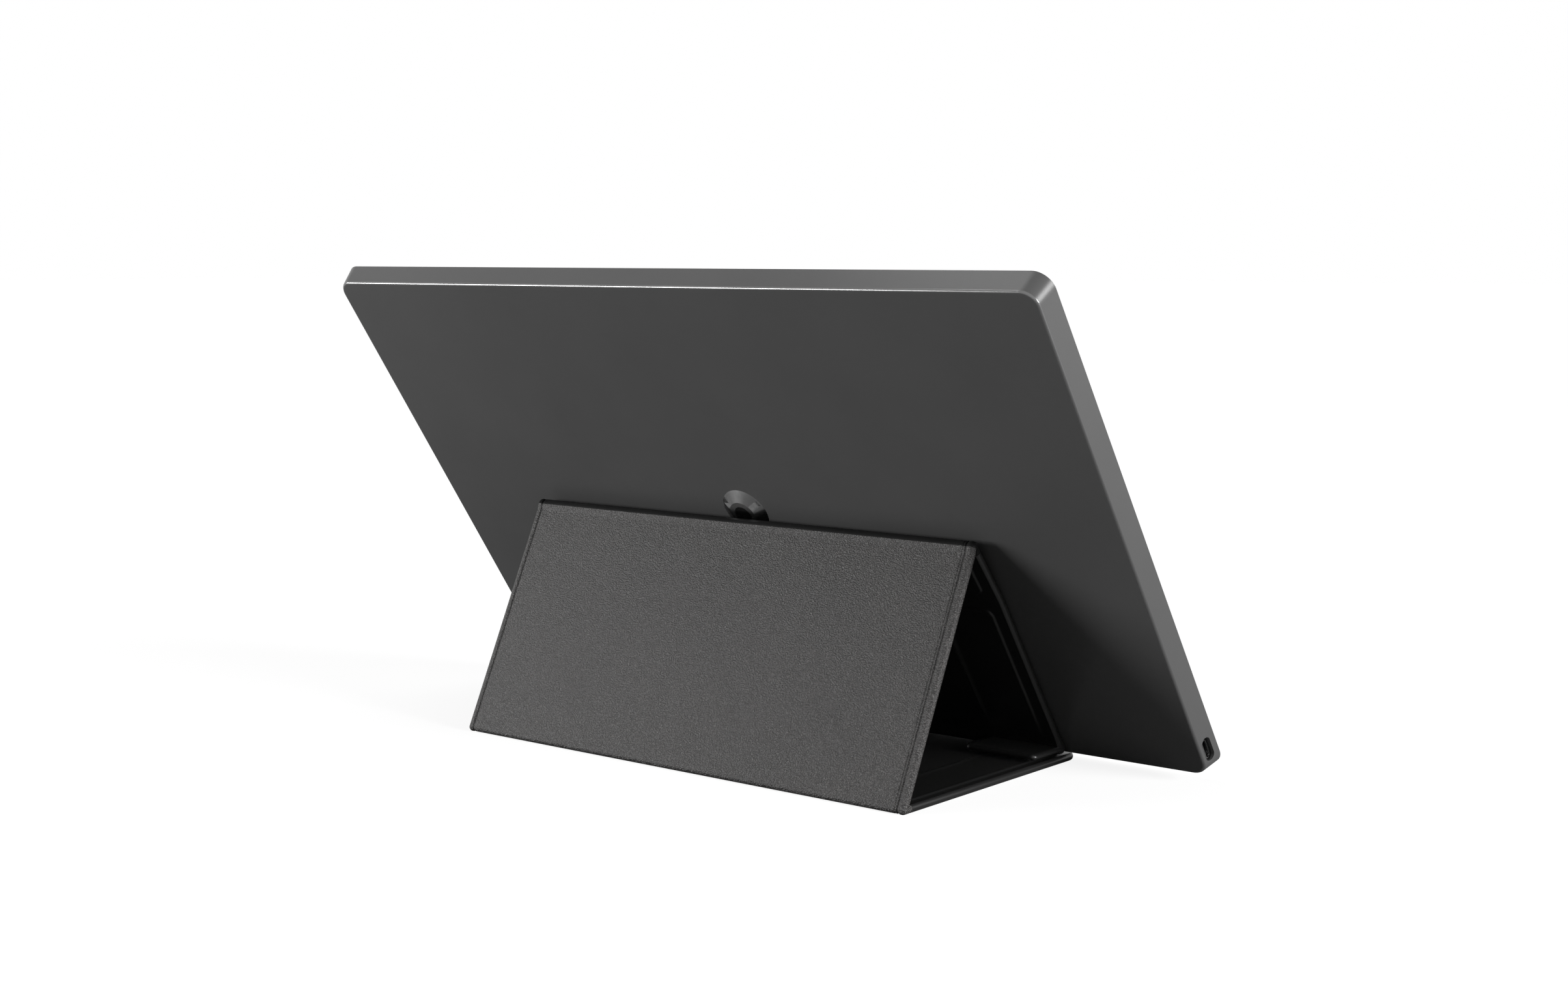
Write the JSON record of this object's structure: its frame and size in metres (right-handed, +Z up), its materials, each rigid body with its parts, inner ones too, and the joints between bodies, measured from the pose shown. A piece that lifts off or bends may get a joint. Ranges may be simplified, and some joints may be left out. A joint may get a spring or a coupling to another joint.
{
  "type": "portable monitor with folding cover",
  "caption": "Flat portable monitor leaning on a leather cover that is folded into a triangular stand, with a round hub on its back and a data socket in its side.",
  "frame": {"origin": "on the desk, under the middle of the cover's base panel", "axes": "+X along the monitor's width, towards the right of someone facing the screen; the screen faces -Y and leans back; +Z up"},
  "size_m": [0.3694, 0.1405, 0.2032],
  "materials": {
    "shell_plastic": "fine satin texture",
    "bezel_plastic": "fine satin",
    "screen": "anti-glare",
    "film": "satin",
    "sheet_metal": "stamped",
    "frame_plastic": "moulded",
    "circuit_board": "solder mask",
    "flex": "satin",
    "screw_steel": "plain",
    "port_black": "moulded",
    "port_steel": "bright",
    "button_plastic": "satin",
    "lens": "clear",
    "hub_gloss": "glossy",
    "cover_leather": "pebbled, dark grey",
    "fold_leather": "smooth, dark grey",
    "board": "fibre board",
    "lining": "smooth, black",
    "magnet": "nickel plated",
    "edge_steel": "bright"
  },
  "bodies": {
    "base": {"base_skin": "cover_leather", "base_stiffener": "board", "base_lining": "lining", "base_magnets": "magnet", "rear_fold": "fold_leather"},
    "rear_panel": {"rear_skin": "cover_leather", "rear_stiffener": "board", "rear_lining": "lining", "top_fold": "fold_leather"},
    "front_wall": {"strip_skin": "cover_leather", "strip_stiffener": "board", "strip_lining": "lining", "crease_fold": "fold_leather", "wall_skin": "cover_leather", "wall_stiffener": "board", "wall_lining": "lining", "front_fold": "fold_leather"},
    "end_tabs": {"tab_skins": "cover_leather", "tab_stiffeners": "board", "tab_linings": "lining", "tab_magnets": "magnet", "tab_end_strips": "edge_steel"},
    "power_key": {"power_button": "button_plastic"},
    "brighter_key": {"brighter_button": "button_plastic"},
    "dimmer_key": {"dimmer_button": "button_plastic"},
    "monitor": {"back_shell": "shell_plastic", "front_bezel": "bezel_plastic", "lcd_cell": "screen", "diffuser_films": "film", "light_guide": "film", "reflector_sheet": "film", "panel_tray": "sheet_metal", "board_shield": "sheet_metal", "hub_plate": "sheet_metal", "mid_frame": "frame_plastic", "main_board": "circuit_board", "source_board": "circuit_board", "button_board": "circuit_board", "flex_cable": "flex", "board_screws": "screw_steel", "hub_screws": "screw_steel", "port_trim": "port_black", "port_tongue": "port_black", "port_shell": "port_steel", "status_lens": "lens", "led_bar": "lens", "hub_boss": "hub_gloss", "hub_cap": "hub_gloss"}
  },
  "joints": [
    {"name": "rear_fold_hinge", "type": "hinge", "parent": "base", "child": "rear_panel", "pos_m": [0, 0.05915, 0.00175], "axis": [-1, 0, 0], "range_deg": [0, 80]},
    {"name": "top_fold_hinge", "type": "hinge", "parent": "rear_panel", "child": "front_wall", "pos_m": [0, 0.01464, 0.09647], "axis": [-1, 0, 0], "range_deg": [0, 100]},
    {"name": "tab_hinge", "type": "hinge", "parent": "front_wall", "child": "end_tabs", "pos_m": [0, -0.05068, 0.0062], "axis": [1, 0, 0], "range_deg": [0, 20]},
    {"name": "monitor_lift_off", "type": "slide", "parent": "front_wall", "child": "monitor", "axis": [0, -0.8251, 0.565], "range_m": [0, 0.1]},
    {"name": "power_press", "type": "slide", "parent": "monitor", "child": "power_key", "axis": [0, 0.8251, -0.565], "range_m": [0, 0.0005], "stiffness_N_per_m": 600, "springref_m": -0.001},
    {"name": "brighter_press", "type": "slide", "parent": "monitor", "child": "brighter_key", "axis": [0, 0.8251, -0.565], "range_m": [0, 0.0005], "stiffness_N_per_m": 600, "springref_m": -0.001},
    {"name": "dimmer_press", "type": "slide", "parent": "monitor", "child": "dimmer_key", "axis": [0, 0.8251, -0.565], "range_m": [0, 0.0005], "stiffness_N_per_m": 600, "springref_m": -0.001}
  ]
}
